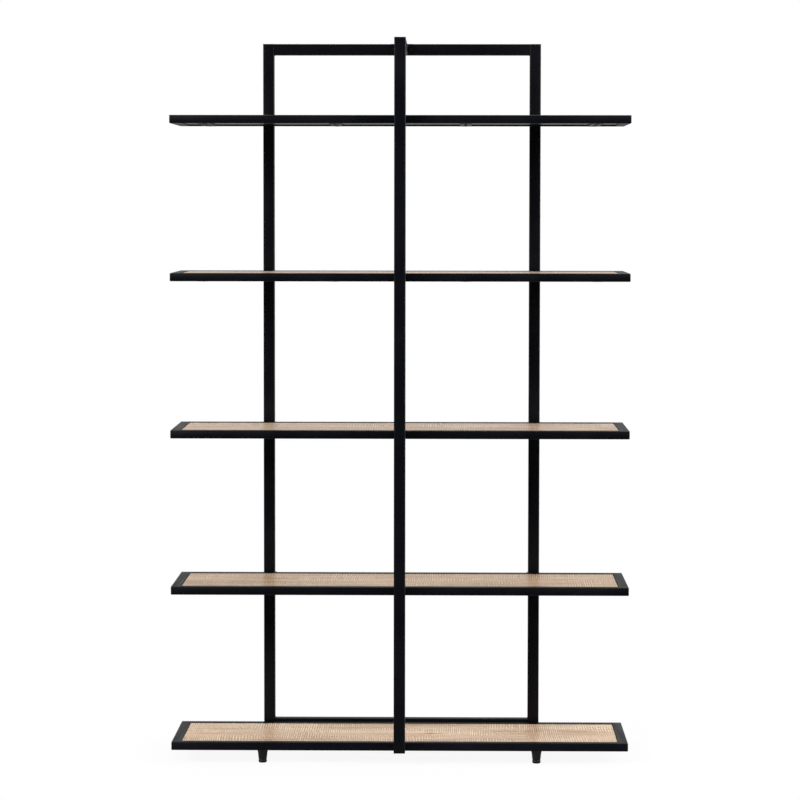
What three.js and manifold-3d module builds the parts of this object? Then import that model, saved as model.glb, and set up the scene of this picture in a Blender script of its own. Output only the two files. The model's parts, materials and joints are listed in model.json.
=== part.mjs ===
// A tall open bookcase: a rear frame of square tube, one front post in the middle, and five shelves
// of steel frame with two wooden boards each. The bottom shelf is fixed and carries the front feet.
// The other four are clamped in slots, so each can be set higher or lower.
//
// Frame: millimetres, +X to the right, +Y to the back, +Z up. The origin is on the floor, in the
// middle of the footprint.

import * as THREE from 'three';
import { mergeVertices } from 'three/addons/utils/BufferGeometryUtils.js';
import Module from 'manifold-3d';

const wasm = await Module();
wasm.setup();

// ---------------------------------------------------------------- driving dimensions

// Overall
const shelf_width = 1200;          // each shelf, end to end
const shelf_depth = 340;           // clear space between the post and the rear frame
const frame_width = 750;           // rear frame, outside to outside
const frame_height = 1864;         // uprights and post, from the top of the feet
const foot_height = 33;            // floor to the underside of the steel, feet screwed right in
const top_bay = 200;               // top of the highest shelf to the top of the frame

// Square tube of the rear frame, the post and the crossbar
const tube = 30;
const tube_wall = 2;
const tube_corner = 3;

// Shelf frame
const rail_width = 25;
const rail_height = 21.5;
const rail_wall = 1.5;
const rail_edge = 1.8;             // rounding of the long edges of the shelf rails
const rail_corner = 3;             // rounding of the four corners seen from above
const bar_width = 30;              // flat bars under the boards
const bar_thickness = 4;
const bar_inset = 60;              // centre of the outer bars from the inside of the end rails
const vent_hole = 6;               // drains the closed frame when it is coated
const vent_inset = 45;             // vent holes from the ends of the shelf

// Boards
const board_gap = 1.5;             // round each board and between the two
const board_recess = 1;            // board top below the top of the rails
const board_edge = 1.2;

// Tabs that clamp a shelf to the post and the uprights
const tab_thickness = 3;
const tab_width = 24;
const tab_drop = 28;               // front tab below the rail
const adjust_travel = 100;         // each way from the middle of a slot

// Screws, nuts and their holes
const screw = 6;
const screw_head = 10;
const screw_head_height = 4;
const hex_across = 4;
const hex_depth = 2;
const nut_width = 12;
const nut_thickness = 5;
const screw_tail = 2.5;            // thread that stands out of a nut
const hole_clearance = 0.6;        // on the diameter
const slot_clearance = 1;          // on the width, and at each end
const nut_clearance = 0.4;         // on the diameter

// Crossbar flange and post base plate
const flange_width = 60;
const flange_thickness = 3;
const flange_screw_spacing = 46;
const flange_screw_length = 9;
const base_plate = 2;
const base_screw_length = 12;
const base_rear_spacing = 400;     // the two screws through the rear bottom rail
const base_rear_length = 14;
const access_clearance = 3;        // hole for the screw head in the back of the rear bottom rail

// Levelling feet
const pad_height = 9;
const pad_floor = 19.5;            // diameters of the pad, from the floor up
const pad_shoulder = 22.4;
const pad_waist = 23.6;
const pad_neck = 20.5;
const column_foot = 21.6;          // diameters of the column, from the pad up
const column_lip_foot = 27;
const column_top = 28;
const column_lip = 2.5;            // straight rim at the top of the column
const column_lip_round = 0.6;
const stud = 8;
const stud_tip_gap = 3;            // end of the stud to the top wall of the shelf rail
const stud_chamfer = 1;
const stud_clearance = 0.6;
const boss_wall = 3.5;             // welded nut round the stud
const boss_height = 7;
const end_plate = 4;               // closes the foot of each upright
const swivel_pin = 8;
const swivel_depth = 5;

// Fits
const slide_gap = 0.3;             // between a shelf and what it slides along
const seat_gap = 0.2;              // under screw heads and nuts, and above the feet

// ---------------------------------------------------------------- places worked out from them

const post_back = -shelf_depth / 2;
const rear_front = shelf_depth / 2;
const frame_depth = shelf_depth - 2 * slide_gap;
const upright_x = frame_width / 2 - tube / 2;
const upright_y = rear_front + tube / 2;
const inner_face = frame_width / 2 - tube;
const post_y = post_back - tube / 2;
const front_foot_y = -frame_depth / 2 + rail_width / 2;
const opening_width = shelf_width - 2 * rail_width;
const opening_depth = frame_depth - 2 * rail_width;
const board_thickness = rail_height - bar_thickness - board_recess;
const shelf_names = ['bottom_shelf', 'lower_shelf', 'middle_shelf', 'upper_shelf', 'top_shelf'];
const shelf_pitch = (frame_height - rail_height - top_bay) / (shelf_names.length - 1);
const front_screw_z = -tab_drop / 2;
const rear_screw_z = rail_height / 2;
const screw_hole = screw + hole_clearance;
const slot_width = screw + slot_clearance;
const slot_reach = adjust_travel + screw / 2 + slot_clearance;
const stud_length = rail_height - rail_wall - stud_tip_gap;

// ---------------------------------------------------------------- materials

const steel = new THREE.MeshStandardMaterial({ color: 0x16171b, roughness: 0.5, metalness: 0.4 });
const wood = new THREE.MeshStandardMaterial({ color: 0xcfb292, roughness: 0.75, metalness: 0 });
const plastic = new THREE.MeshStandardMaterial({ color: 0x101012, roughness: 0.6, metalness: 0 });
const zinc = new THREE.MeshStandardMaterial({ color: 0x1d1d20, roughness: 0.4, metalness: 0.7 });

// ---------------------------------------------------------------- shapes and solids

function solid(geometry, x = 0, y = 0, z = 0) {
  const bare = geometry.clone();
  bare.translate(x, y, z);
  bare.deleteAttribute('normal');
  bare.deleteAttribute('uv');
  const merged = mergeVertices(bare, 1e-4);
  return new wasm.Manifold(new wasm.Mesh({
    numProp: 3,
    vertProperties: new Float32Array(merged.attributes.position.array),
    triVerts: new Uint32Array(merged.index.array),
  }));
}

function geometry_of(manifold) {
  const mesh = manifold.getMesh();
  const geometry = new THREE.BufferGeometry();
  geometry.setAttribute('position', new THREE.BufferAttribute(mesh.vertProperties, 3));
  geometry.setIndex(new THREE.BufferAttribute(mesh.triVerts, 1));
  return geometry;
}

function block(size_x, size_y, size_z, x, y, z) {
  return solid(new THREE.BoxGeometry(size_x, size_y, size_z), x, y, z);
}

function rounded_outline(path, width, height, radius) {
  const x = width / 2;
  const y = height / 2;
  path.moveTo(x, radius - y);
  path.absarc(x - radius, y - radius, radius, 0, Math.PI / 2);
  path.absarc(radius - x, y - radius, radius, Math.PI / 2, Math.PI);
  path.absarc(radius - x, radius - y, radius, Math.PI, 1.5 * Math.PI);
  path.absarc(x - radius, radius - y, radius, 1.5 * Math.PI, 2 * Math.PI);
  return path;
}

function rectangle_hole(width, height) {
  const path = new THREE.Path();
  path.moveTo(-width / 2, -height / 2);
  path.lineTo(-width / 2, height / 2);
  path.lineTo(width / 2, height / 2);
  path.lineTo(width / 2, -height / 2);
  path.closePath();
  return path;
}

// A prism along +Z from z = 0.
function prism(shape, length, curve_steps = 2) {
  return new THREE.ExtrudeGeometry(shape, { depth: length, bevelEnabled: false, curveSegments: curve_steps });
}

function disc(diameter, length, sides = 12) {
  const geometry = new THREE.CylinderGeometry(diameter / 2, diameter / 2, length, sides);
  geometry.rotateX(Math.PI / 2);
  return geometry;
}

// A round hole through a wall, along X, Y or Z.
function hole(diameter, length, axis, x, y, z) {
  const geometry = disc(diameter, length);
  if (axis === 'x') geometry.rotateY(Math.PI / 2);
  if (axis === 'y') geometry.rotateX(Math.PI / 2);
  return solid(geometry, x, y, z);
}

// An upright slot with round ends, cut along X or Y.
function slot(axis, x, y, z) {
  const radius = slot_width / 2;
  const reach = slot_reach - radius;
  const outline = new THREE.Shape();
  outline.absarc(0, reach, radius, 0, Math.PI);
  outline.absarc(0, -reach, radius, Math.PI, 2 * Math.PI);
  const length = 3 * tube_wall;
  const geometry = prism(outline, length, 3);
  geometry.translate(0, 0, -length / 2);
  geometry.rotateX(Math.PI / 2);
  if (axis === 'x') geometry.rotateZ(Math.PI / 2);
  return solid(geometry, x, y, z);
}

// The turned section of a part, as points of [diameter, height] about +Z.
function turned(points, sides = 16) {
  const outline = points.map(([diameter, height]) => new THREE.Vector2(diameter / 2, height));
  const geometry = new THREE.LatheGeometry(outline, sides);
  geometry.rotateX(Math.PI / 2);
  return geometry;
}

// ---------------------------------------------------------------- scene graph helpers

const bookcase = new THREE.Group();

function add(parent, name, geometry, material, x = 0, y = 0, z = 0) {
  const mesh = new THREE.Mesh(geometry, material);
  mesh.name = name;
  mesh.position.set(x, y, z);
  parent.add(mesh);
  return mesh;
}

function group_at(parent, x, y, z) {
  const group = new THREE.Group();
  group.position.set(x, y, z);
  parent.add(group);
  return group;
}

// ---------------------------------------------------------------- rear frame, post and crossbar

// A post of square tube along +Z, closed at the top, with slots at the given heights.
function slotted_post(foot_plate, slot_axis, slot_x, slot_y, slot_heights) {
  const outline = rounded_outline(new THREE.Shape(), tube, tube, tube_corner);
  const inside = tube - 2 * tube_wall;
  const cavity_height = frame_height - foot_plate - tube_wall;
  let post = solid(prism(outline, frame_height));
  post = post.subtract(block(inside, inside, cavity_height, 0, 0, foot_plate + cavity_height / 2));
  for (const height of slot_heights) {
    post = post.subtract(slot(slot_axis, slot_x, slot_y, height));
  }
  return post;
}

// A welded nut on the inside of a wall, with the hole for a foot's stud right through both.
function with_stud_nut(part, wall, x, y, z) {
  const bore = stud + stud_clearance;
  const nut = solid(disc(bore + 2 * boss_wall, boss_height), x, y, z + wall + boss_height / 2);
  return part.add(nut).subtract(hole(bore, 3 * (wall + boss_height), 'z', x, y, z));
}

function adjustable_heights(offset) {
  return shelf_names.slice(1).map((_, i) => (i + 1) * shelf_pitch + offset);
}

// side is -1 for the left upright and 1 for the right one: its slots face the other upright.
function upright(side) {
  const wall_x = -side * (tube / 2 - tube_wall / 2);
  const post = slotted_post(end_plate, 'x', wall_x, 0, adjustable_heights(rear_screw_z));
  return geometry_of(with_stud_nut(post, end_plate, 0, 0, 0));
}

function front_post() {
  const wall_y = tube / 2 - tube_wall / 2;
  const post = slotted_post(0, 'y', 0, wall_y, adjustable_heights(front_screw_z));
  return geometry_of(post);
}

// A length of square tube centred on the origin, along X or Y.
function open_tube(length, axis) {
  const outline = rounded_outline(new THREE.Shape(), tube, tube, tube_corner);
  outline.holes.push(rectangle_hole(tube - 2 * tube_wall, tube - 2 * tube_wall));
  const geometry = prism(outline, length);
  geometry.translate(0, 0, -length / 2);
  if (axis === 'x') geometry.rotateY(Math.PI / 2);
  if (axis === 'y') geometry.rotateX(Math.PI / 2);
  return geometry;
}

function rear_top_rail() {
  let rail = solid(open_tube(2 * inner_face, 'x'));
  for (const side of [-1, 1]) {
    const x = side * flange_screw_spacing / 2;
    rail = rail.subtract(hole(screw_hole, 3 * tube_wall, 'y', x, -tube / 2 + tube_wall / 2, 0));
  }
  return geometry_of(rail);
}

function rear_bottom_rail() {
  const screw_z = rail_height / 2 - tube / 2;
  let rail = solid(open_tube(2 * inner_face, 'x'));
  for (const side of [-1, 1]) {
    const x = side * base_rear_spacing / 2;
    const wall_y = tube / 2 - tube_wall / 2;
    rail = rail.subtract(hole(screw_hole, 3 * tube_wall, 'y', x, -wall_y, screw_z));
    rail = rail.subtract(hole(screw_head + access_clearance, 3 * tube_wall, 'y', x, wall_y, screw_z));
  }
  return geometry_of(rail);
}

function crossbar_flange() {
  let plate = block(flange_width, flange_thickness, tube, 0, 0, 0);
  for (const side of [-1, 1]) {
    const x = side * flange_screw_spacing / 2;
    plate = plate.subtract(hole(screw_hole, 3 * flange_thickness, 'y', x, 0, 0));
  }
  return geometry_of(plate);
}

// Under the foot of the post and the front rail of the bottom shelf.
function post_base_plate() {
  const reach = tube + slide_gap + rail_width;
  const plate = block(tube, reach, base_plate, 0, reach / 2, base_plate / 2);
  const screw_y = reach - rail_width / 2;
  return geometry_of(plate.subtract(hole(screw_hole, 3 * base_plate, 'z', 0, screw_y, base_plate / 2)));
}

// ---------------------------------------------------------------- screws and nuts

// A socket-head screw about +Y: its head is below y = 0 and its thread runs from 0 to length.
function cap_screw(length) {
  const profile = [
    [0, -screw_head_height],
    [screw_head, -screw_head_height],
    [screw_head, 0],
    [screw, 0],
    [screw, length],
    [0, length],
  ];
  const outline = profile.map(([diameter, y]) => new THREE.Vector2(diameter / 2, y));
  const body = solid(new THREE.LatheGeometry(outline, 12));
  const hex_radius = hex_across / Math.sqrt(3);
  const hexagon = new THREE.CylinderGeometry(hex_radius, hex_radius, 2 * hex_depth, 6);
  return geometry_of(body.subtract(solid(hexagon, 0, -screw_head_height, 0)));
}

// A square nut about +Y, centred on the origin.
function slide_nut() {
  const body = block(nut_width, nut_thickness, nut_width, 0, 0, 0);
  return geometry_of(body.subtract(hole(screw + nut_clearance, 2 * nut_thickness, 'y', 0, 0, 0)));
}

const plus_y = new THREE.Vector3(0, 1, 0);

// Places a screw or a nut so that its own +Y points along direction.
function add_along(parent, name, geometry, direction, x, y, z) {
  const mesh = add(parent, name, geometry, zinc, x, y, z);
  mesh.quaternion.setFromUnitVectors(plus_y, direction);
  return mesh;
}

// ---------------------------------------------------------------- shelves

function shelf_ring() {
  const outline = rounded_outline(new THREE.Shape(), shelf_width, frame_depth, rail_corner);
  outline.holes.push(rectangle_hole(opening_width, opening_depth));
  const skin = new THREE.ExtrudeGeometry(outline, {
    depth: rail_height - 2 * rail_edge,
    bevelEnabled: true,
    bevelThickness: rail_edge,
    bevelSize: rail_edge,
    bevelOffset: -rail_edge,
    bevelSegments: 2,
    curveSegments: 1,
  });
  const channel = new THREE.Shape();
  const channel_width = shelf_width - 2 * rail_wall;
  const channel_depth = frame_depth - 2 * rail_wall;
  rounded_outline(channel, channel_width, channel_depth, rail_corner - rail_wall);
  channel.holes.push(rectangle_hole(opening_width + 2 * rail_wall, opening_depth + 2 * rail_wall));
  const cavity = solid(prism(channel, rail_height - 2 * rail_wall), 0, 0, rail_wall);
  return solid(skin, 0, 0, rail_edge).subtract(cavity);
}

function with_vents(frame) {
  let vented = frame;
  for (const side_x of [-1, 1]) {
    for (const side_y of [-1, 1]) {
      const x = side_x * (shelf_width / 2 - vent_inset);
      const y = side_y * (frame_depth / 2 - rail_width / 2);
      vented = vented.subtract(hole(vent_hole, 3 * rail_wall, 'z', x, y, rail_wall / 2));
    }
  }
  return vented;
}

function with_bars(frame) {
  const reach = opening_width / 2 - bar_inset;
  const weld = rail_wall / 2;
  let barred = frame;
  for (const x of [-reach, -reach / 3, reach / 3, reach]) {
    barred = barred.add(block(bar_width, opening_depth + 2 * weld, bar_thickness, x, 0, bar_thickness / 2));
  }
  return barred;
}

function front_tab() {
  const weld = rail_wall / 2;
  const y = -frame_depth / 2 + tab_thickness / 2;
  const tab = block(tab_width, tab_thickness, tab_drop + weld, 0, y, (weld - tab_drop) / 2);
  return tab.subtract(hole(screw_hole, 3 * tab_thickness, 'y', 0, y, front_screw_z));
}

function rear_tab(side) {
  const weld = rail_wall / 2;
  const reach = tube - slide_gap;
  const height = rail_height - 2 * rail_edge;
  const x = side * (inner_face - slide_gap - tab_thickness / 2);
  const y = frame_depth / 2 + (reach - weld) / 2;
  const tab = block(tab_thickness, reach + weld, height, x, y, rail_height / 2);
  return tab.subtract(hole(screw_hole, 3 * tab_thickness, 'x', x, upright_y, rear_screw_z));
}

function adjustable_frame() {
  const frame = with_bars(with_vents(shelf_ring()));
  return geometry_of(frame.add(front_tab()).add(rear_tab(-1)).add(rear_tab(1)));
}

// The fixed bottom frame has no tabs. It holds the front feet and takes the three base screws.
function fixed_frame() {
  let frame = with_bars(with_vents(shelf_ring()));
  for (const side of [-1, 1]) {
    frame = with_stud_nut(frame, rail_wall, side * upright_x, front_foot_y, 0);
    const x = side * base_rear_spacing / 2;
    const wall_y = frame_depth / 2 - rail_wall / 2;
    frame = frame.subtract(hole(screw_hole, 3 * rail_wall, 'y', x, wall_y, rear_screw_z));
  }
  return geometry_of(frame.subtract(hole(screw_hole, 3 * rail_wall, 'z', 0, front_foot_y, rail_wall / 2)));
}

function board(depth) {
  const length = opening_width - 2 * board_gap;
  const outline = new THREE.Shape();
  outline.moveTo(-length / 2, -depth / 2);
  outline.lineTo(length / 2, -depth / 2);
  outline.lineTo(length / 2, depth / 2);
  outline.lineTo(-length / 2, depth / 2);
  outline.closePath();
  const geometry = new THREE.ExtrudeGeometry(outline, {
    depth: board_thickness - 2 * board_edge,
    bevelEnabled: true,
    bevelThickness: board_edge,
    bevelSize: board_edge,
    bevelOffset: -board_edge,
    bevelSegments: 1,
  });
  geometry.translate(0, 0, board_edge);
  return geometry;
}

const board_depth = (opening_depth - 3 * board_gap) / 2;
const board_geometry = board(board_depth);

function add_boards(shelf, name) {
  const y = (board_depth + board_gap) / 2;
  add(shelf, `${name}_front_board`, board_geometry, wood, 0, -y, bar_thickness);
  add(shelf, `${name}_rear_board`, board_geometry, wood, 0, y, bar_thickness);
}

const clamp_length = seat_gap + tab_thickness + slide_gap + tube_wall + seat_gap + nut_thickness + screw_tail;
const clamp_screw = cap_screw(clamp_length);
const clamp_nut = slide_nut();
const nut_offset = tube_wall + seat_gap + nut_thickness / 2;
const head_offset = slide_gap + tab_thickness + seat_gap;

// The screw and the nut that clamp one tab: face is the plane of the slotted wall.
function add_clamp(shelf, name, direction, x, y, z) {
  const head = new THREE.Vector3(x, y, z).addScaledVector(direction, -head_offset);
  const nut = new THREE.Vector3(x, y, z).addScaledVector(direction, nut_offset);
  add_along(shelf, `${name}_screw`, clamp_screw, direction, head.x, head.y, head.z);
  add_along(shelf, `${name}_nut`, clamp_nut, direction, nut.x, nut.y, nut.z);
}

function add_adjustable_shelf(name, geometry, level) {
  const shelf = group_at(bookcase, 0, 0, level);
  add(shelf, `${name}_frame`, geometry, steel);
  add_boards(shelf, name);
  add_clamp(shelf, `${name}_front`, new THREE.Vector3(0, -1, 0), 0, post_back, front_screw_z);
  add_clamp(shelf, `${name}_left`, new THREE.Vector3(-1, 0, 0), -inner_face, upright_y, rear_screw_z);
  add_clamp(shelf, `${name}_right`, new THREE.Vector3(1, 0, 0), inner_face, upright_y, rear_screw_z);
}

// ---------------------------------------------------------------- levelling feet

// Built from its own floor at z = 0. The column turns on the pad's socket and screws into the steel.
function foot_pad() {
  return turned([
    [0, 0],
    [pad_floor, 0],
    [pad_shoulder, pad_height / 5],
    [pad_waist, pad_height / 2],
    [pad_shoulder, pad_height * 4 / 5],
    [pad_neck, pad_height],
    [swivel_pin + stud_clearance, pad_height],
    [swivel_pin + stud_clearance, pad_height - swivel_depth - seat_gap],
    [0, pad_height - swivel_depth - seat_gap],
  ]);
}

function foot_column() {
  const shoulder = foot_height - seat_gap;
  return turned([
    [0, pad_height - swivel_depth],
    [swivel_pin, pad_height - swivel_depth],
    [swivel_pin, pad_height + seat_gap],
    [column_foot, pad_height + seat_gap],
    [column_lip_foot, shoulder - column_lip],
    [column_top, shoulder - column_lip + column_lip_round],
    [column_top, shoulder],
    [stud, shoulder],
    [stud, foot_height + stud_length - stud_chamfer],
    [stud - 2 * stud_chamfer, foot_height + stud_length],
    [0, foot_height + stud_length],
  ]);
}

const pad_geometry = foot_pad();
const column_geometry = foot_column();

function add_foot(name, x, y) {
  const foot = group_at(bookcase, x, y, 0);
  add(foot, `${name}_foot_pad`, pad_geometry, plastic);
  add(foot, `${name}_foot_column`, column_geometry, plastic);
}

// ---------------------------------------------------------------- the bookcase

const rear_frame = group_at(bookcase, 0, upright_y, foot_height);
add(rear_frame, 'rear_left_upright', upright(-1), steel, -upright_x, 0, 0);
add(rear_frame, 'rear_right_upright', upright(1), steel, upright_x, 0, 0);
add(rear_frame, 'rear_top_rail', rear_top_rail(), steel, 0, 0, frame_height - tube / 2);
add(rear_frame, 'rear_bottom_rail', rear_bottom_rail(), steel, 0, 0, tube / 2);

const crossbar_z = foot_height + frame_height - tube / 2;
const crossbar_length = shelf_depth - flange_thickness;
add(bookcase, 'front_post', front_post(), steel, 0, post_y, foot_height);
add(bookcase, 'top_crossbar', open_tube(crossbar_length, 'y'), steel, 0, -flange_thickness / 2, crossbar_z);

const flange_y = rear_front - flange_thickness / 2;
const flange_screw = cap_screw(flange_screw_length);
const flange_screw_y = rear_front - flange_thickness - seat_gap;
add(bookcase, 'crossbar_flange', crossbar_flange(), steel, 0, flange_y, crossbar_z);
for (const [side, name] of [[-1, 'flange_left_screw'], [1, 'flange_right_screw']]) {
  const x = side * flange_screw_spacing / 2;
  add_along(bookcase, name, flange_screw, new THREE.Vector3(0, 1, 0), x, flange_screw_y, crossbar_z);
}

const base_screw = cap_screw(base_screw_length);
const plate_z = foot_height - base_plate;
add(bookcase, 'post_base_plate', post_base_plate(), steel, 0, post_back - tube, plate_z);
const base_screw_z = plate_z - seat_gap;
add_along(bookcase, 'base_front_screw', base_screw, new THREE.Vector3(0, 0, 1), 0, front_foot_y, base_screw_z);

const base_rear_screw = cap_screw(base_rear_length);
const base_rear_y = rear_front + tube_wall + seat_gap;
for (const [side, name] of [[-1, 'base_left_screw'], [1, 'base_right_screw']]) {
  const x = side * base_rear_spacing / 2;
  const z = foot_height + rear_screw_z;
  add_along(bookcase, name, base_rear_screw, new THREE.Vector3(0, -1, 0), x, base_rear_y, z);
}

const bottom_shelf = group_at(bookcase, 0, 0, foot_height);
add(bottom_shelf, 'bottom_shelf_frame', fixed_frame(), steel);
add_boards(bottom_shelf, 'bottom_shelf');

const sliding_frame = adjustable_frame();
shelf_names.slice(1).forEach((name, i) => {
  add_adjustable_shelf(name, sliding_frame, foot_height + (i + 1) * shelf_pitch);
});

for (const [side, side_name] of [[-1, 'left'], [1, 'right']]) {
  add_foot(`front_${side_name}`, side * upright_x, front_foot_y);
  add_foot(`rear_${side_name}`, side * upright_x, upright_y);
}

export default bookcase;
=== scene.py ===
import json
import math

import bmesh
import bpy
import numpy as np
from mathutils import Matrix, Vector, noise


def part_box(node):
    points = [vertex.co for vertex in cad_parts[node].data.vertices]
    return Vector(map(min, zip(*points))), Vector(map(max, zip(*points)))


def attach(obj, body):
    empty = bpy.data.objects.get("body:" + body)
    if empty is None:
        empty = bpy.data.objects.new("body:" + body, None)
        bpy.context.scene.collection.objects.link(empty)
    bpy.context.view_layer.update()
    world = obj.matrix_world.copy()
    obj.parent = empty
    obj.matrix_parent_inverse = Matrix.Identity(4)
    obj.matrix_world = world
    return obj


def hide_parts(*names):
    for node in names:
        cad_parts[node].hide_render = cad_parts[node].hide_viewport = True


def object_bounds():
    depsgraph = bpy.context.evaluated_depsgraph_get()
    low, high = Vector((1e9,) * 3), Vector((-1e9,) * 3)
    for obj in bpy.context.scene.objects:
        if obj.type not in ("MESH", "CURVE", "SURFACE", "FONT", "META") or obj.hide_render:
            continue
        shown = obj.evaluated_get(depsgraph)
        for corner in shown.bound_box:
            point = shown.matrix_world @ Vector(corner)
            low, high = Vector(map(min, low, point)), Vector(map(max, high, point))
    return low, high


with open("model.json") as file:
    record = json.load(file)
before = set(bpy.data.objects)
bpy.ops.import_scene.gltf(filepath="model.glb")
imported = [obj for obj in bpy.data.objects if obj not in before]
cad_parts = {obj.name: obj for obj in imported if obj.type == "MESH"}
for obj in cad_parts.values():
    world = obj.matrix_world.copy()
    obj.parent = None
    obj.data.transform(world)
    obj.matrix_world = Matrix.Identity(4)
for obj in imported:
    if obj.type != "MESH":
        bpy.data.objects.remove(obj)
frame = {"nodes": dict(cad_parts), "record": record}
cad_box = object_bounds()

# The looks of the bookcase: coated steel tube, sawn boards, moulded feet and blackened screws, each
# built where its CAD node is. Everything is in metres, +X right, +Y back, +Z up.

MM = 0.001
BOARD_GAP = 1.5 * MM       # between a board and the opening of its shelf
BAR_THICKNESS = 4 * MM     # flat bars under the boards
BAR_HALF = 15 * MM         # half their width
BAR_INSET = 60 * MM        # centre of the outer bars to the end of the opening
TAB_THICKNESS = 3 * MM
TAB_CLEARANCE = 0.3 * MM   # between a rear tab and its upright
WELD = 0.001 * MM          # corners closer than that are one
SHARP_ANGLE = 32           # degrees: an edge that turns more stays sharp, or is rounded

nodes = frame["nodes"]
record = frame["record"]
shelves = ["bottom_shelf", "lower_shelf", "middle_shelf", "upper_shelf", "top_shelf"]
feet = ["front_left", "front_right", "rear_left", "rear_right"]
body_of = {n: body for body, group in record["behaviour"]["bodies"].items() for n in group}
slot_of = {part["node"]: part["material_slot"] for part in record["subparts"]}


def shelf_body(shelf):
    return body_of[f"{shelf}_frame"]


# ------------------------------------------------------------------ camera

def make_camera():
    data = bpy.data.cameras.new("camera")
    data.sensor_width = 36
    data.lens = 142.23
    data.clip_end = 60
    camera = bpy.data.objects.new("camera", data)
    camera.location = (0.1182, -8.3958, 1.4687)
    pitch = 0.0622
    yaw = 0.0143
    roll = 0.00105
    level = Matrix.Rotation(yaw, 4, "Z") @ Matrix.Rotation(math.pi / 2 - pitch, 4, "X")
    camera.rotation_euler = (level @ Matrix.Rotation(roll, 4, "Z")).to_euler()
    bpy.context.scene.collection.objects.link(camera)
    bpy.context.scene.camera = camera


# ------------------------------------------------------------------ node trees

class Nodes:
    """A short way to write a material's node tree."""

    def __init__(self, tree):
        self.tree = tree

    def add(self, kind, **settings):
        node = self.tree.nodes.new(kind)
        for key, value in settings.items():
            setattr(node, key, value)
        return node

    def link(self, output, socket):
        self.tree.links.new(output, socket)

    def fill(self, socket, value):
        if isinstance(value, bpy.types.NodeSocket):
            self.link(value, socket)
        else:
            socket.default_value = value

    def place(self, per_metre, shift=(0, 0, 0)):
        """Object coordinates, scaled to that many units a metre along each axis and then shifted."""
        node = self.add("ShaderNodeMapping")
        self.link(self.add("ShaderNodeTexCoord").outputs["Object"], node.inputs["Vector"])
        node.inputs["Scale"].default_value = per_metre
        node.inputs["Location"].default_value = shift
        return node.outputs["Vector"]

    def noise(self, vector, detail=2.0, roughness=0.5, distortion=0.0):
        node = self.add("ShaderNodeTexNoise")
        self.link(vector, node.inputs["Vector"])
        node.inputs["Scale"].default_value = 1
        node.inputs["Detail"].default_value = detail
        node.inputs["Roughness"].default_value = roughness
        node.inputs["Distortion"].default_value = distortion
        return node.outputs["Fac"]

    def ramp(self, value, start, end, start_value=0.0, end_value=1.0):
        """Goes smoothly from start_value to end_value as the value goes from start to end."""
        node = self.add("ShaderNodeMapRange", interpolation_type="SMOOTHSTEP")
        self.link(value, node.inputs["Value"])
        node.inputs["From Min"].default_value = start
        node.inputs["From Max"].default_value = end
        node.inputs["To Min"].default_value = start_value
        node.inputs["To Max"].default_value = end_value
        return node.outputs["Result"]

    def math(self, operation, *values):
        node = self.add("ShaderNodeMath", operation=operation)
        for socket, value in zip(node.inputs, values):
            self.fill(socket, value)
        return node.outputs["Value"]

    def product(self, *factors):
        result = factors[0]
        for factor in factors[1:]:
            result = self.math("MULTIPLY", result, factor)
        return result

    def mix(self, amount, a, b, blend="MIX"):
        node = self.add("ShaderNodeMix", data_type="RGBA", blend_type=blend)
        sockets = {s.identifier: s for s in node.inputs}
        self.fill(sockets["Factor_Float"], amount)
        self.fill(sockets["A_Color"], a)
        self.fill(sockets["B_Color"], b)
        return next(s for s in node.outputs if s.identifier == "Result_Color")

    def bump(self, height, distance, strength=1.0, normal=None):
        node = self.add("ShaderNodeBump")
        self.link(height, node.inputs["Height"])
        node.inputs["Distance"].default_value = distance
        node.inputs["Strength"].default_value = strength
        if normal is not None:
            self.link(normal, node.inputs["Normal"])
        return node.outputs["Normal"]


def new_material(name):
    material = bpy.data.materials.new(name)
    material.use_nodes = True
    tree = material.node_tree
    return material, Nodes(tree), tree.nodes["Principled BSDF"].inputs


# ------------------------------------------------------------------ materials

def make_powder_coat():
    """Satin black powder coat: fine orange peel, and a thin veil of dust in patches."""
    material, n, shader = new_material("black_powder_coat")
    patches = n.noise(n.place((7, 7, 7)), 3)
    peel = n.noise(n.place((900, 900, 900)), 2)
    pebble = n.noise(n.place((330, 330, 330)), 3)
    coat = (0.0014, 0.0018, 0.0046, 1)
    dusty = (0.0028, 0.0033, 0.0066, 1)
    n.fill(shader["Base Color"], n.mix(n.ramp(patches, 0.45, 0.75), coat, dusty))
    n.fill(shader["Roughness"], n.ramp(patches, 0.3, 0.7, 0.38, 0.46))
    shader["IOR"].default_value = 1.3
    height = n.math("ADD", peel, n.product(pebble, 1.4))
    n.fill(shader["Normal"], n.bump(height, 0.06 * MM, 0.5))
    return material


def make_plastic():
    """Moulded black plastic with a fine grain and dry scuffs."""
    material, n, shader = new_material("black_plastic")
    grain = n.noise(n.place((1600, 1600, 1600)), 2)
    scuffs = n.noise(n.place((60, 60, 60)), 4)
    plain = (0.0035, 0.0035, 0.0040, 1)
    scuffed = (0.0085, 0.0085, 0.0090, 1)
    n.fill(shader["Base Color"], n.mix(n.ramp(scuffs, 0.5, 0.8), plain, scuffed))
    n.fill(shader["Roughness"], n.ramp(scuffs, 0.3, 0.7, 0.5, 0.68))
    shader["IOR"].default_value = 1.46
    n.fill(shader["Normal"], n.bump(grain, 0.05 * MM, 0.5))
    return material


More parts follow.
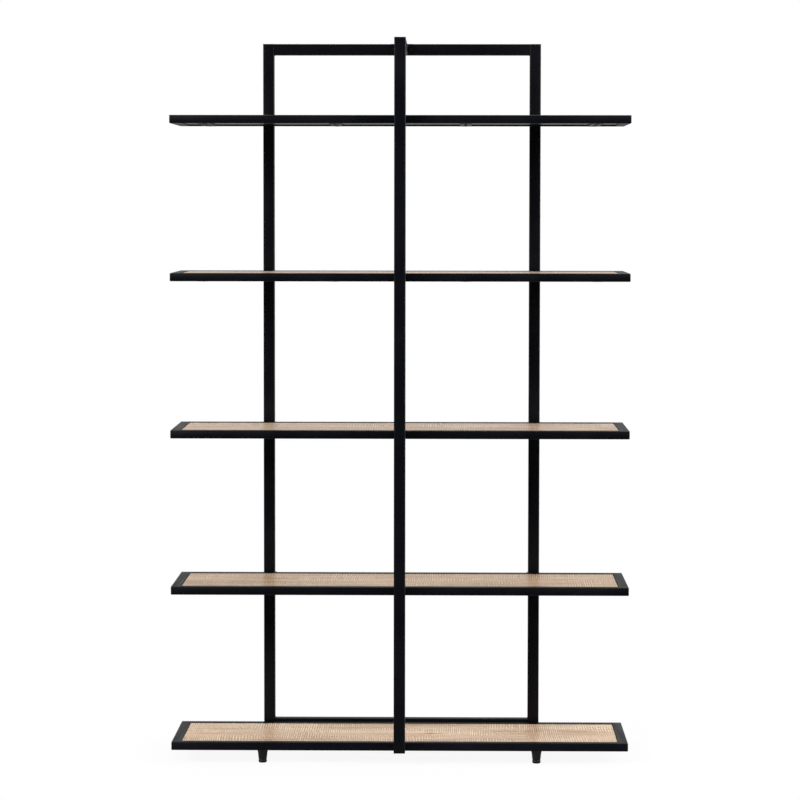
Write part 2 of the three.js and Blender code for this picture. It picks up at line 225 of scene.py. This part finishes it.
def make_black_oxide():
    """Blackened steel of screws and nuts, rubbed brighter in places."""
    material, n, shader = new_material("black_fasteners")
    rub = n.noise(n.place((420, 420, 420)), 4)
    blackened = (0.022, 0.022, 0.024, 1)
    rubbed = (0.11, 0.105, 0.10, 1)
    n.fill(shader["Base Color"], n.mix(n.ramp(rub, 0.52, 0.8), blackened, rubbed))
    n.fill(shader["Roughness"], n.ramp(rub, 0.3, 0.7, 0.44, 0.32))
    shader["Metallic"].default_value = 0.85
    grain = n.noise(n.place((1500, 1500, 1500)), 2)
    n.fill(shader["Normal"], n.bump(grain, 0.02 * MM, 0.6))
    return material


PALE = (0.76, 0.60, 0.455, 1)
TAN = (0.54, 0.39, 0.27, 1)
BROWN = (0.36, 0.21, 0.115, 1)
CREAM = (0.92, 0.80, 0.65, 1)
SMUDGE = (0.235, 0.19, 0.15, 1)
KNOT = (0.10, 0.058, 0.035, 1)
# near-black over each board's underside and its lowest edge
NEAR_BLACK_UNDERSIDE = (0.010, 0.0095, 0.0105, 1)


def saw_lines(n, spacing, slant, wander, shift):
    """Lines across the board, 0 to 1, one every spacing. They lean by slant metres along X for each
    metre of Y, and stray by up to wander spacings."""
    split = n.add("ShaderNodeSeparateXYZ")
    n.link(n.add("ShaderNodeTexCoord").outputs["Object"], split.inputs[0])
    along = n.product(split.outputs["X"], 1 / spacing)
    lean = n.product(split.outputs["Y"], slant / spacing)
    drift = n.product(n.noise(n.place((7, 1.3, 1), shift), 0), wander)
    phase = n.math("ADD", n.math("ADD", along, lean), drift)
    wave = n.math("SINE", n.product(phase, 2 * math.pi))
    return n.math("MULTIPLY_ADD", wave, 0.5, 0.5)


def wood_grain(n, shift):
    """Growth streaks, fibres and pores along X: their colour, the fibres and the pores."""
    streaks = n.noise(n.place((2.4, 27, 27), shift), 5, 0.6, 0.6)
    fibres = n.noise(n.place((14, 420, 420), shift), 4, 0.6)
    pores = n.ramp(n.noise(n.place((90, 2300, 2300), shift), 1), 0.64, 0.74)
    clouds = n.noise(n.place((3.5, 7, 7), shift), 3)
    colour = n.mix(n.ramp(streaks, 0.36, 0.64), PALE, TAN)
    colour = n.mix(n.ramp(clouds, 0.42, 0.66, 0.0, 0.6), colour, TAN)
    colour = n.mix(n.ramp(fibres, 0.42, 0.70, 0.0, 0.45), colour, TAN)
    veins = n.product(n.ramp(streaks, 0.52, 0.66), n.ramp(clouds, 0.42, 0.58), 0.7)
    colour = n.mix(veins, colour, BROWN)
    return n.mix(n.product(pores, 0.45), colour, BROWN), fibres, pores


def saw_marks(n, colour, seed, shift):
    """Saw strokes across the board in patches, and slanted nicks: the colour and the strokes."""
    zone = n.ramp(n.noise(n.place((8, 15, 15), shift), 2), 0.43, 0.58)
    lines = saw_lines(n, 6.4 * MM, 0.02 * math.sin(seed), 7, shift)
    rough = n.noise(n.place((170, 6, 6), shift), 2, 0.65)
    stroke = n.math("ADD", n.product(lines, 0.55), n.product(rough, 0.75))
    colour = n.mix(n.product(n.ramp(stroke, 0.64, 0.92), zone, 0.55), colour, BROWN)
    colour = n.mix(n.product(n.ramp(stroke, 0.58, 0.34), zone, 0.85), colour, CREAM)
    nick = saw_lines(n, 17 * MM, 0.30, 4, shift)
    nick_zone = n.ramp(n.noise(n.place((14, 30, 30), shift), 1), 0.50, 0.60)
    colour = n.mix(n.product(n.ramp(nick, 0.86, 0.99), nick_zone, 0.65), colour, BROWN)
    return colour, n.product(stroke, zone)


def smudges_and_knots(n, colour, shift):
    """The colour with grey smudges along the grain, and a few knots with brown rims."""
    stain = n.noise(n.place((3.1, 34, 34), (7 + shift[0], shift[1], 2)), 4, 0.6)
    colour = n.mix(n.ramp(stain, 0.66, 0.78, 0.0, 0.42), colour, SMUDGE)
    cells = n.add("ShaderNodeTexVoronoi", feature="F1")
    n.link(n.place((3.3, 9.5, 0.01), shift), cells.inputs["Vector"])
    cells.inputs["Scale"].default_value = 1
    distance = cells.outputs["Distance"]
    colour = n.mix(n.ramp(distance, 0.17, 0.05, 0.0, 0.45), colour, BROWN)
    return n.mix(n.ramp(distance, 0.055, 0.028, 0.0, 0.8), colour, KNOT)


def near_black_below(n, colour, black_line_height, shift):
    """The colour above the line, and near-black below it, with a slightly ragged edge."""
    height = n.add("ShaderNodeSeparateXYZ")
    n.link(n.add("ShaderNodeTexCoord").outputs["Object"], height.inputs[0])
    ragged = n.noise(n.place((60, 60, 60), shift), 3)
    edge = n.math("ADD", height.outputs["Z"], n.product(ragged, 2 * MM))
    return n.mix(n.ramp(edge, black_line_height, black_line_height + 1 * MM), NEAR_BLACK_UNDERSIDE, colour)


def make_wood(name, seed, tone_and_light, black_line_height):
    """A sawn board, near-black below the given height, which darkens its underside."""
    material, n, shader = new_material(name)
    shift = (3.17 * seed, 11.31 * seed, 5.73 * seed)
    colour, fibres, pores = wood_grain(n, shift)
    colour, strokes = saw_marks(n, colour, seed, shift)
    colour = smudges_and_knots(n, colour, shift)
    # The tone multiplied in here is partly painted light, brightest on the bottom shelf.
    colour = n.mix(1.0, colour, (*tone_and_light, 1), "MULTIPLY")
    n.fill(shader["Base Color"], near_black_below(n, colour, black_line_height, shift))
    n.fill(shader["Roughness"], n.ramp(fibres, 0.3, 0.7, 0.24, 0.36))
    shader["IOR"].default_value = 1.5
    grain = n.bump(n.math("SUBTRACT", fibres, pores), 0.12 * MM, 0.5)
    n.fill(shader["Normal"], n.bump(strokes, -0.12 * MM, 0.4, grain))
    return material


# ------------------------------------------------------------------ meshes

def add_piece(name, mesh, body, material, replaced=()):
    piece = bpy.data.objects.new(name, mesh)
    bpy.context.scene.collection.objects.link(piece)
    mesh.materials.clear()
    mesh.materials.append(material)
    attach(piece, body)
    if replaced:
        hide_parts(*replaced)
    return piece


def finished_mesh(name, bm, sharp_angle=SHARP_ANGLE):
    """Welds loose corners together, and shades the mesh smooth up to the sharp angle."""
    bmesh.ops.remove_doubles(bm, verts=bm.verts, dist=WELD)
    bmesh.ops.recalc_face_normals(bm, faces=bm.faces)
    for face in bm.faces:
        face.smooth = True
    for edge in bm.edges:
        edge.smooth = edge.is_manifold and edge.calc_face_angle(0) < math.radians(sharp_angle)
    mesh = bpy.data.meshes.new(name)
    bm.to_mesh(mesh)
    bm.free()
    return mesh


def softened(mesh, width, segments=2):
    """The mesh with its sharp edges rounded, as a new mesh."""
    holder = bpy.data.objects.new("holder", mesh)
    bpy.context.scene.collection.objects.link(holder)
    bevel = holder.modifiers.new("edges", "BEVEL")
    bevel.width = width
    bevel.segments = segments
    bevel.limit_method = "ANGLE"
    bevel.angle_limit = math.radians(SHARP_ANGLE)
    bevel.harden_normals = True
    graph = bpy.context.evaluated_depsgraph_get()
    rounded = bpy.data.meshes.new_from_object(holder.evaluated_get(graph))
    bpy.data.objects.remove(holder)
    return rounded


def refined(node, width):
    """A CAD node's own shape with clean faces and softly rounded edges."""
    bm = bmesh.new()
    bm.from_mesh(nodes[node].data)
    bmesh.ops.remove_doubles(bm, verts=bm.verts, dist=WELD)
    flat = math.radians(0.4)
    bmesh.ops.dissolve_limit(bm, angle_limit=flat, verts=bm.verts, edges=bm.edges)
    return softened(finished_mesh(node, bm), width)


def turn_rings(bm, rings, sides, placed):
    """Adds a solid round the Z axis, then placed. Each ring is (radius, height), and a radius may be
    a function of the angle. A radius of 0 closes the solid on the axis."""
    loops = []
    for radius, height in rings:
        if radius == 0:
            loops.append([bm.verts.new(placed @ Vector((0, 0, height)))] * sides)
            continue
        loop = []
        for i in range(sides):
            angle = 2 * math.pi * i / sides
            r = radius(angle) if callable(radius) else radius
            loop.append(bm.verts.new(placed @ Vector((r * math.cos(angle), r * math.sin(angle), height))))
        loops.append(loop)
    for a, b in zip(loops, loops[1:]):
        for i in range(sides):
            j = (i + 1) % sides
            bm.faces.new(list(dict.fromkeys([a[i], a[j], b[j], b[i]])))


def hexagon(across):
    """The radius of a hexagon at each angle, from its size across the flats."""
    def radius(angle):
        return across / 2 / math.cos((angle + math.pi / 6) % (math.pi / 3) - math.pi / 6)
    return radius


def thread(radius, depth, pitch, start, end, steps=6):
    """Rings of a screw thread from start to end, no wider than radius, fading in at both ends."""
    count = round((end - start) / pitch * steps)
    rings = []
    for i in range(count + 1):
        height = start + (end - start) * i / count
        fade = min(1.0, (height - start) / pitch, (end - height) / pitch)

        def profile(angle, height=height, fade=fade):
            turn = (height / pitch - angle / (2 * math.pi)) % 1
            return radius - depth + depth * (1 - abs(2 * turn - 1)) * fade

        rings.append((profile, height))
    return rings


# ------------------------------------------------------------------ steel

def make_steel(coat):
    edge = 0.4 * MM
    for node in nodes:
        if slot_of[node] == "black_powder_coat":
            mesh = refined(node, edge)
            add_piece(f"{node}_coated", mesh, body_of[node], coat, [node])


def add_bead(bm, start, end, across, out, width=2.4 * MM):
    """A rippled weld bead from start to end: half an ellipse, lying across and standing out."""
    path = Vector(end) - Vector(start)
    ripple = 1.9 * MM
    count = max(8, round(path.length / ripple * 6))
    sides = 9
    loops = []
    for i in range(count + 1):
        share = i / count
        along = share * path.length
        fade = min(1.0, 0.45 + along / width, 0.45 + (path.length - along) / width)
        wobble = 0.10 * noise.noise(Vector(start) * 900 + Vector((along * 400, 0, 0)))
        size = width * fade * (1 + 0.07 * math.sin(2 * math.pi * along / ripple) + wobble)
        loop = []
        for k in range(sides):
            angle = math.pi * k / (sides - 1)
            reach = Vector(across) * math.cos(angle) * size + Vector(out) * math.sin(angle) * size * 0.55
            loop.append(bm.verts.new(Vector(start) + path * share + reach))
        loops.append(loop)
    for a, b in zip(loops, loops[1:]):
        for k in range(sides - 1):
            bm.faces.new((a[k], a[k + 1], b[k + 1], b[k]))
        bm.faces.new((a[-1], a[0], b[0], b[-1]))
    bm.faces.new(loops[0])
    bm.faces.new(list(reversed(loops[-1])))


def corner_bead(bm, start, end, a, b):
    """A weld bead in the corner where faces that run off along a and b meet."""
    across = (Vector(a) - Vector(b)).normalized()
    out = (Vector(a) + Vector(b)).normalized()
    add_bead(bm, start, end, across, out, 2.0 * MM)


def shelf_values(shelf):
    """What the shelf's nodes say: its underside and top, the opening's half depth, and its flat bars."""
    frame_low, frame_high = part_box(f"{shelf}_frame")
    front_low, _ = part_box(f"{shelf}_front_board")
    _, rear_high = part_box(f"{shelf}_rear_board")
    bar_reach = rear_high.x + BOARD_GAP - BAR_INSET
    return {
        "under": front_low.z - BAR_THICKNESS,
        "top": frame_high.z,
        "opening": rear_high.y + BOARD_GAP,
        "frame_half": -frame_low.y,
        "bars": [bar_reach * share for share in (-1, -1 / 3, 1 / 3, 1)],
    }


def add_bar_welds(bm, values):
    """Beads where the flat bars under the boards meet the rails, beside each bar and under it."""
    for x in values["bars"]:
        for end in (-1, 1):
            y = end * values["opening"]
            z = values["under"]
            seam_z = z + 0.5 * MM
            add_bead(bm, (x - BAR_HALF, y, seam_z), (x + BAR_HALF, y, seam_z), (0, 1, 0), (0, 0, -1))
            for side in (-1, 1):
                low = (x + side * BAR_HALF, y, z + 0.6 * MM)
                high = (x + side * BAR_HALF, y, z + BAR_THICKNESS - 0.4 * MM)
                corner_bead(bm, low, high, (side, 0, 0), (0, -end, 0))


def add_tab_welds(bm, values):
    """Beads that hold a moving shelf's front tab and its two rear tabs."""
    tab_half = 11 * MM
    tab_back = -values["frame_half"] + TAB_THICKNESS
    z = values["under"]
    corner_bead(bm, (-tab_half, tab_back, z), (tab_half, tab_back, z), (0, 1, 0), (0, 0, -1))
    upright_low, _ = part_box("rear_right_upright")
    tab_x = upright_low.x - TAB_THICKNESS - TAB_CLEARANCE
    for side in (-1, 1):
        low = (side * tab_x, values["frame_half"], z + 3 * MM)
        high = (side * tab_x, values["frame_half"], values["top"] - 3 * MM)
        corner_bead(bm, low, high, (-side, 0, 0), (0, 1, 0))


def make_frame_welds(coat):
    """Beads inside the corners of the rear frame, and where the crossbar meets the post and its flange."""
    bm = bmesh.new()
    inset = 2.5 * MM
    upright_low, upright_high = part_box("rear_right_upright")
    top_rail_low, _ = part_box("rear_top_rail")
    _, bottom_rail_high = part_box("rear_bottom_rail")
    for side in (-1, 1):
        x = side * upright_low.x
        for z, up in ((top_rail_low.z, -1), (bottom_rail_high.z, 1)):
            near = (x, upright_low.y + inset, z)
            far = (x, upright_high.y - inset, z)
            corner_bead(bm, near, far, (-side, 0, 0), (0, 0, up))
    low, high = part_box("top_crossbar")
    left = (low.x + inset, low.y, low.z)
    right = (high.x - inset, low.y, low.z)
    corner_bead(bm, left, right, (0, 1, 0), (0, 0, -1))
    for x, side in ((low.x, -1), (high.x, 1)):
        foot = (x, high.y, low.z + inset)
        corner_bead(bm, foot, (x, high.y, high.z - inset), (side, 0, 0), (0, -1, 0))
    mesh = finished_mesh("frame_welds", bm)
    add_piece("frame_welds", mesh, body_of["front_post"], coat)


def make_shelf_welds(coat):
    for shelf in shelves:
        values = shelf_values(shelf)
        bm = bmesh.new()
        add_bar_welds(bm, values)
        if f"{shelf}_front_nut" in nodes:
            add_tab_welds(bm, values)
        mesh = finished_mesh("shelf_welds", bm)
        add_piece(f"{shelf}_welds", mesh, shelf_body(shelf), coat)


# ------------------------------------------------------------------ boards

def eased(step, length, edge):
    """Places along a length: close together over the rounded edge at both ends, evenly spaced between."""
    near = [edge * share for share in (0, 0.12, 0.35, 0.65, 1)]
    count = round((length - 2 * edge) / step)
    middle = [edge + (length - 2 * edge) * i / count for i in range(1, count)]
    return near + middle + [length - d for d in reversed(near)]


def make_board(node, seed, wood):
    """A sawn board: its top is a fine grid with rounded edges, shallow waves and saw ridges."""
    corner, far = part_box(node)
    size = far - corner
    edge = 1.2 * MM
    xs = eased(2.3 * MM, size.x, edge)
    ys = eased(7 * MM, size.y, edge)
    bm = bmesh.new()

    def drop(inward, wear):
        reach = min(inward / (edge * wear), 1)
        return edge * wear * (1 - math.sqrt(1 - (1 - reach) ** 2))

    grid = []
    for x in xs:
        column = []
        for y in ys:
            spot = Vector((corner.x + x, corner.y + y, seed))
            wear = 0.8 + 0.4 * noise.noise(spot * 25)
            wave = 0.22 * MM * (1 + noise.noise(Vector((spot.x * 5, spot.y * 22, seed))))
            ridge = 0.07 * MM * (1 + noise.noise(Vector((spot.x * 160 + spot.y * 14, spot.y * 6, seed))))
            fall = max(drop(min(x, size.x - x), wear), drop(min(y, size.y - y), wear))
            column.append(bm.verts.new((spot.x, spot.y, far.z - wave - ridge - fall)))
        grid.append(column)
    for a, b in zip(grid, grid[1:]):
        for j in range(len(ys) - 1):
            bm.faces.new((a[j], b[j], b[j + 1], a[j + 1]))
    border = [column[0] for column in grid]
    border += grid[-1][1:]
    border += [column[-1] for column in reversed(grid[:-1])]
    border += list(reversed(grid[0][1:-1]))
    foot = [bm.verts.new((v.co.x, v.co.y, corner.z)) for v in border]
    for i, v in enumerate(border):
        j = (i + 1) % len(border)
        bm.faces.new((v, foot[i], foot[j], border[j]))
    bm.faces.new(foot)
    mesh = finished_mesh(node, bm, 50)
    add_piece(f"{node}_sawn", mesh, body_of[node], wood, [node])


def make_boards():
    """All boards. Each shelf has its own tone, partly painted light, and the front boards are a little
    darker.
    """
    # Shelf tints are partly each shelf's own tone and partly painted light: the bottom shelf is painted
    # brighter to make up for the light it lacks.
    shelf_tone_and_light = {
        "bottom_shelf": (1.19, 1.13, 1.04),
        "lower_shelf": (0.93, 0.86, 0.76),
        "middle_shelf": (1.06, 1.02, 0.98),
        "upper_shelf": (1.03, 0.98, 0.92),
        "top_shelf": (0.99, 0.94, 0.88),
    }
    side_tint = {"front": (0.93, 0.905, 0.89), "rear": (1, 1, 1)}
    seed = 0
    for shelf in shelves:
        for side in ("front", "rear"):
            seed += 1
            node = f"{shelf}_{side}_board"
            board_low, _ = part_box(node)
            tone_and_light = [a * b for a, b in zip(shelf_tone_and_light[shelf], side_tint[side])]
            wood = make_wood(f"wood_{shelf}_{side}", seed, tone_and_light, board_low.z + 2 * MM)
            make_board(node, seed, wood)


# ------------------------------------------------------------------ screws and nuts

def screw_place(node):
    """Where a screw sits: the matrix that puts its seat at 0 with its thread along +Z, and its length."""
    corners = np.array([v.co for v in nodes[node].data.vertices])
    low = corners.min(0)
    high = corners.max(0)
    axis = int(np.argmax(high - low))
    middle = (low + high) / 2
    away = np.delete(corners - middle, axis, 1)
    head = corners[np.hypot(away[:, 0], away[:, 1]) > 4 * MM][:, axis]
    head_first = head.min() - low[axis] < 0.1 * MM
    direction = Vector((0, 0, 0))
    direction[axis] = 1 if head_first else -1
    seat = Vector(middle)
    seat[axis] = head.max() if head_first else head.min()
    turn = Vector((0, 0, 1)).rotation_difference(direction).to_matrix().to_4x4()
    return Matrix.Translation(seat) @ turn, (high - low)[axis] - (head.max() - head.min())


def make_screw(node, oxide):
    """A socket-head screw with a rounded, chamfered head and a cut thread."""
    placed, length = screw_place(node)
    head = 5 * MM
    head_top = -4 * MM
    shank = 3 * MM
    pitch = 1 * MM
    socket = hexagon(4 * MM)
    mouth = hexagon(4.5 * MM)
    rings = [(0, -1.7 * MM), (socket, -2 * MM), (socket, head_top + 0.2 * MM), (mouth, head_top)]
    rings += [(head - 0.7 * MM, head_top), (head - 0.25 * MM, head_top + 0.15 * MM)]
    rings += [(head, head_top + 0.6 * MM), (head, -0.3 * MM), (head - 0.2 * MM, 0)]
    rings += [(shank - 0.1 * MM, 0)]
    rings += thread(shank, 0.5 * MM, pitch, 0.2 * MM, length - 0.5 * MM)
    rings += [(shank - 0.9 * MM, length), (0, length)]
    bm = bmesh.new()
    turn_rings(bm, rings, 48, placed)
    add_piece(f"{node}_socket", finished_mesh(node, bm), body_of[node], oxide, [node])


def make_fasteners(oxide):
    for node in nodes:
        if node.endswith("_screw"):
            make_screw(node, oxide)
        if node.endswith("_nut"):
            mesh = refined(node, 0.5 * MM)
            add_piece(f"{node}_square", mesh, body_of[node], oxide, [node])


def make_board_screws(oxide):
    """Low pan-head wood screws under the flat bars, two into each board from each bar."""
    head = 4.4 * MM
    head_top = -1.8 * MM
    from_edge = 30 * MM
    socket = hexagon(3 * MM)
    rings = [(0, -0.5 * MM), (socket, -0.6 * MM), (socket, head_top + 0.05 * MM), (2.4 * MM, head_top)]
    rings += [(3.3 * MM, -1.55 * MM), (4.1 * MM, -1.0 * MM), (head, -0.4 * MM), (head, 0), (0, 0)]
    for shelf in shelves:
        values = shelf_values(shelf)
        bm = bmesh.new()
        for x in values["bars"]:
            for side in ("front", "rear"):
                board_low, board_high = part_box(f"{shelf}_{side}_board")
                for y in (board_low.y + from_edge, board_high.y - from_edge):
                    turn_rings(bm, rings, 24, Matrix.Translation((x, y, values["under"])))
        mesh = finished_mesh("board_screws", bm)
        add_piece(f"{shelf}_board_screws", mesh, shelf_body(shelf), oxide)


# ------------------------------------------------------------------ feet

def make_pad(node, plastic):
    """The pad on the floor: a rounded ring of plastic with a socket on top for the swivel pin. It is
    narrower all round than its CAD solid."""
    low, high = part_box(node)
    middle = (low + high) / 2
    top = high.z - low.z
    narrower = 0.7 * MM
    bulge = 1.9 * MM
    recess = 0.4 * MM
    socket = 4.3 * MM
    socket_floor = top - 5.2 * MM
    widest = (high.x - low.x) / 2 - narrower
    rings = [(0, recess), (7.5 * MM, recess), (8 * MM, 0), (9.4 * MM, 0)]
    steps = 14
    for i in range(steps + 1):
        z = top * (0.04 + 0.94 * i / steps)
        swell = math.sin(math.pi * z / top) ** 0.8
        rings.append((widest - bulge * (1 - swell), z))
    rings += [(9.3 * MM, top), (4.9 * MM, top), (socket, top - 0.5 * MM), (socket, socket_floor)]
    rings += [(0, socket_floor)]
    bm = bmesh.new()
    turn_rings(bm, rings, 72, Matrix.Translation((middle.x, middle.y, low.z)))
    add_piece(f"{node}_moulded", finished_mesh(node, bm), body_of[node], plastic, [node])


def make_column(node, pad, plastic, oxide):
    """The turned foot: a fluted plastic cone with a flared rim, a swivel pin under it and a stud on top."""
    low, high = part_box(node)
    _, pad_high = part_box(pad)
    upright_low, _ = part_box("rear_left_upright")
    middle = (low + high) / 2
    gap = 0.2 * MM
    foot = pad_high.z + gap - low.z
    rim = upright_low.z - gap - low.z
    pin = 4 * MM
    stud = 4 * MM
    pitch = 1.25 * MM
    waist = 10.8 * MM
    taper = 2.1 * MM
    flare = 1.1 * MM
    flutes = 18

    def cone(share):
        plain = waist + taper * share + flare * share ** 5
        grip = math.sin(math.pi * min(max((share - 0.12) / 0.62, 0), 1)) ** 0.5

        def radius(angle):
            return plain - 0.45 * MM * grip * (0.5 - 0.5 * math.cos(flutes * angle)) ** 2
        return radius

    rings = [(0, 0), (pin - 0.6 * MM, 0), (pin, 0.6 * MM), (pin, foot), (10.2 * MM, foot)]
    steps = 22
    for i in range(steps + 1):
        share = i / steps
        rings.append((cone(share), foot + 0.4 * MM + (rim - foot - 1.0 * MM) * share))
    rings += [(13.7 * MM, rim), (0, rim)]
    bm = bmesh.new()
    placed = Matrix.Translation((middle.x, middle.y, low.z))
    turn_rings(bm, rings, 144, placed)
    mesh = finished_mesh(node, bm, 40)
    add_piece(f"{node}_moulded", mesh, body_of[node], plastic, [node])

    tip = high.z - low.z
    rings = [(0, rim), (stud - 0.6 * MM, rim)]
    rings += thread(stud, 0.65 * MM, pitch, rim + 0.1 * MM, tip - 1 * MM)
    rings += [(stud - 1 * MM, tip), (0, tip)]
    bm = bmesh.new()
    turn_rings(bm, rings, 36, placed)
    add_piece(f"{node}_stud", finished_mesh(node, bm), body_of[node], oxide)


def make_feet(plastic, oxide):
    for foot in feet:
        make_pad(f"{foot}_foot_pad", plastic)
        make_column(f"{foot}_foot_column", f"{foot}_foot_pad", plastic, oxide)


# ------------------------------------------------------------------ floor, light and background

def make_floor():
    """White to the camera, apart from a small share near the object that takes the soft shadow."""
    material = bpy.data.materials.new("floor_white")
    material.use_nodes = True
    material.node_tree.nodes.clear()
    n = Nodes(material.node_tree)
    out = n.add("ShaderNodeOutputMaterial")
    diffuse = n.add("ShaderNodeBsdfDiffuse")
    diffuse.inputs["Color"].default_value = (0.85, 0.85, 0.85, 1)
    white = n.add("ShaderNodeEmission")
    path = n.add("ShaderNodeLightPath")
    place = n.add("ShaderNodeTexCoord").outputs["Object"]
    depth = n.add("ShaderNodeSeparateXYZ")
    n.link(place, depth.inputs[0])
    behind = n.ramp(depth.outputs["Y"], -1.5, 1.5, 0.01, 0.42)
    seen = n.math("MAXIMUM", path.outputs["Is Camera Ray"], path.outputs["Is Transmission Ray"])
    strength = n.math("MAXIMUM", seen, n.product(path.outputs["Is Glossy Ray"], behind))
    n.link(strength, white.inputs["Strength"])
    far = n.add("ShaderNodeVectorMath", operation="LENGTH")
    n.link(place, far.inputs[0])
    emitted_share = n.ramp(far.outputs["Value"], 0.7, 1.3, 0.92, 1.0)
    plain = n.math("MAXIMUM", seen, path.outputs["Is Glossy Ray"])
    blend = n.add("ShaderNodeMixShader")
    n.link(n.product(plain, emitted_share), blend.inputs["Fac"])
    n.link(diffuse.outputs["BSDF"], blend.inputs[1])
    n.link(white.outputs["Emission"], blend.inputs[2])
    n.link(blend.outputs["Shader"], out.inputs["Surface"])

    reach = 30
    mesh = bpy.data.meshes.new("floor")
    corners = [(-reach, -reach, 0), (reach, -reach, 0), (reach, reach, 0), (-reach, reach, 0)]
    mesh.from_pydata(corners, [], [(0, 1, 2, 3)])
    mesh.materials.append(material)
    floor = bpy.data.objects.new("floor", mesh)
    floor.location.z = cad_box[0].z - 0.5 * MM
    bpy.context.scene.collection.objects.link(floor)


def make_world():
    """White to the camera, and an even pale light on the object. What the object mirrors is darker on
    the camera's side and brighter behind."""
    world = bpy.data.worlds.new("world")
    bpy.context.scene.world = world
    world.use_nodes = True
    world.node_tree.nodes.clear()
    n = Nodes(world.node_tree)
    out = n.add("ShaderNodeOutputWorld")
    path = n.add("ShaderNodeLightPath")
    way = n.add("ShaderNodeSeparateXYZ")
    n.link(n.add("ShaderNodeTexCoord").outputs["Generated"], way.inputs[0])
    soft = 0.48
    mirrored = n.ramp(way.outputs["Y"], -0.35, 0.75, 0.05 - soft, 0.42 - soft)
    light = n.math("MULTIPLY_ADD", path.outputs["Is Glossy Ray"], mirrored, soft)
    light = n.math("MAXIMUM", light, path.outputs["Is Camera Ray"])
    light = n.math("MAXIMUM", light, path.outputs["Is Transmission Ray"])
    shade = n.add("ShaderNodeBackground")
    shade.inputs["Color"].default_value = (1, 1, 1, 1)
    n.link(light, shade.inputs["Strength"])
    n.link(shade.outputs["Background"], out.inputs["Surface"])


def add_softbox(name, azimuth, elevation, distance, width, height, power):
    """A soft lamp aimed at the object's middle. Azimuth 0 is on the camera's side, 90 on the right."""
    target = (cad_box[0] + cad_box[1]) / 2
    a = math.radians(azimuth)
    e = math.radians(elevation)
    away = Vector((math.sin(a) * math.cos(e), -math.cos(a) * math.cos(e), math.sin(e)))
    data = bpy.data.lights.new(name, "AREA")
    data.shape = "RECTANGLE"
    data.size = width
    data.size_y = height
    data.energy = power
    lamp = bpy.data.objects.new(name, data)
    lamp.location = target + away * distance
    lamp.rotation_euler = (-away).to_track_quat("-Z", "Y").to_euler()
    bpy.context.scene.collection.objects.link(lamp)


def make_light():
    add_softbox("left_front", azimuth=-62, elevation=26, distance=6.0, width=2.2, height=2.2, power=265)
    add_softbox("right_front", azimuth=62, elevation=26, distance=6.0, width=2.2, height=2.2, power=165)
    add_softbox("right_edge", azimuth=95, elevation=8, distance=5.0, width=2.5, height=2.5, power=165)
    add_softbox("rear", azimuth=175, elevation=50, distance=6.0, width=3.0, height=2.0, power=90)


# ------------------------------------------------------------------ making it

make_camera()
powder_coat = make_powder_coat()
black_plastic = make_plastic()
black_oxide = make_black_oxide()
make_steel(powder_coat)
make_frame_welds(powder_coat)
make_shelf_welds(powder_coat)
make_boards()
make_fasteners(black_oxide)
make_board_screws(black_oxide)
make_feet(black_plastic, black_oxide)
make_floor()
make_world()
make_light()
bpy.context.scene.view_settings.view_transform = "Standard"
